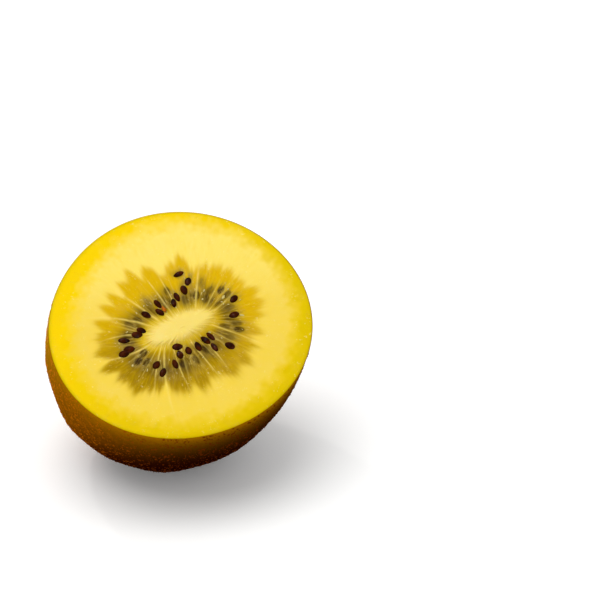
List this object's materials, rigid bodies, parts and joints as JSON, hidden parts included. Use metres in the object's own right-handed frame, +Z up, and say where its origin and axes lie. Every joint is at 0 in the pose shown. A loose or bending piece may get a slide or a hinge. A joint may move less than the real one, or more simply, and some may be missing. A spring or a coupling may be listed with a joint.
{
  "type": "golden kiwi fruit half",
  "caption": "Half of a golden kiwi fruit, cut across, lying on its brown skin with the gold cut face, pale core and dark seeds turned up and forward.",
  "frame": {"origin": "centre of the small flat patch of skin that the half rests on", "axes": "+Z up, away from the surface that the half lies on; the cut face leans towards -Y"},
  "size_m": [0.0536, 0.0532, 0.0465],
  "materials": {
    "flesh": "moist cut flesh, gold, a little translucent",
    "skin": "thin dry skin, olive gold to brown, with fine raised dots and a few short hairs",
    "seeds": "smooth hard coat, nearly black brown, wet",
    "stem_scar": "dry felted ring round a woody button"
  },
  "bodies": {
    "root": {"golden_kiwi_half": "flesh"}
  },
  "joints": []
}
